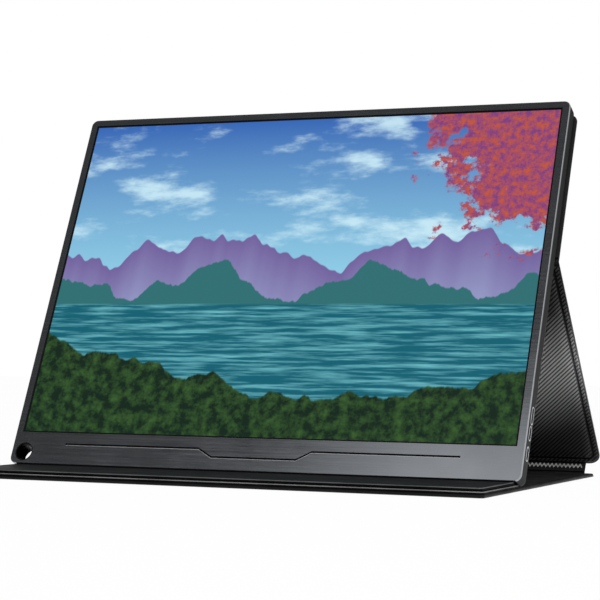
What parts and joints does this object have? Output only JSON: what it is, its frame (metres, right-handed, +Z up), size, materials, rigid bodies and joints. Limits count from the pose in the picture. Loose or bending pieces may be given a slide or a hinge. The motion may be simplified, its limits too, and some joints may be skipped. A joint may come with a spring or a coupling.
{
  "type": "portable monitor with folio stand",
  "caption": "Flat portable screen with a metal frame, side sockets and keys, standing on a magnetic folio cover that folds into a sloping leg, a spine and a flat base.",
  "frame": {"origin": "centre of the base panel's underside, on the table", "axes": "+X to the viewer's right along the folds, +Y towards the leg at the back, +Z up"},
  "size_m": [0.4006, 0.2872, 0.2792],
  "materials": {
    "frame_metal": "brushed dark anodised",
    "shell_metal": "brushed dark anodised",
    "screen": "smooth, lit from behind",
    "panel_glass": "smooth",
    "film": "satin",
    "acrylic": "clear",
    "circuit": "solder mask",
    "steel": "plain",
    "ribbon": "flexible",
    "socket_metal": "drawn",
    "black_plastic": "matt",
    "key_metal": "satin anodised",
    "brass": "knurled",
    "eyelet_metal": "satin",
    "magnet": "plated",
    "cover_skin": "fine grain",
    "cover_board": "grey board",
    "cover_lining": "twill",
    "cover_pad": "fine grain"
  },
  "bodies": {
    "base": {"base_skin": "cover_skin", "base_board": "cover_board", "base_lining": "cover_lining", "rest_ledge": "cover_pad", "rest_pad": "cover_pad", "rear_fold": "cover_skin"},
    "spine": {"spine_skin": "cover_skin", "spine_board": "cover_board", "spine_lining": "cover_lining", "foot_fold": "cover_skin"},
    "leg": {"leg_skin": "cover_skin", "leg_board": "cover_board", "leg_lining": "cover_lining", "upper_fold": "cover_skin"},
    "monitor": {"front_frame": "frame_metal", "rear_shell": "shell_metal", "screen_glass": "screen", "lcd_panel": "panel_glass", "optical_films": "film", "light_guide": "acrylic", "lamp_strip": "circuit", "backlight_tray": "steel", "main_board": "circuit", "key_board": "circuit", "board_screws": "steel", "driver_board": "circuit", "panel_cable": "ribbon", "hdmi_socket": "socket_metal", "usb_c_socket_upper": "socket_metal", "usb_c_socket_lower": "socket_metal", "audio_jack": "black_plastic", "rocker_pin": "steel", "key_switches": "black_plastic", "speaker_left": "black_plastic", "speaker_right": "black_plastic", "mount_inserts": "brass", "corner_eyelet": "eyelet_metal", "shell_magnets": "magnet", "top_skin": "cover_skin", "top_board": "cover_board", "top_lining": "cover_lining", "cover_plates": "steel"},
    "power_button": {"power_button": "key_metal"},
    "menu_rocker": {"menu_rocker": "key_metal"}
  },
  "joints": [
    {"name": "leg_fold", "type": "hinge", "parent": "spine", "child": "leg", "pos_m": [0, 0.14508, 0.00902], "axis": [-1, 0, 0], "range_deg": [0, 69.6], "deforming": ["foot_fold"]},
    {"name": "spine_fold", "type": "hinge", "parent": "base", "child": "spine", "pos_m": [0, 0.14067, 0.0014], "axis": [-1, 0, 0], "range_deg": [0, 59.4], "deforming": ["rear_fold"]},
    {"name": "screen_fold", "type": "hinge", "parent": "leg", "child": "monitor", "pos_m": [0, 0.0199, 0.15956], "axis": [1, 0, 0], "range_deg": [0, 63.66], "deforming": ["upper_fold"]},
    {"name": "power_press", "type": "slide", "parent": "monitor", "child": "power_button", "axis": [1, 0, 0], "range_m": [0, 0.0005], "stiffness_N_per_m": 600},
    {"name": "menu_tilt", "type": "hinge", "parent": "monitor", "child": "menu_rocker", "pos_m": [-0.1936, -0.03583, 0.06265], "axis": [0, -0.9135, 0.4067], "range_deg": [-3.5, 3.5], "stiffness_Nm_per_rad": 0.03}
  ],
  "couplings": [
    {"joint": "spine_fold", "follows": "leg_fold", "ratio": 0.85349},
    {"joint": "screen_fold", "follows": "leg_fold", "ratio": 0.91465}
  ]
}
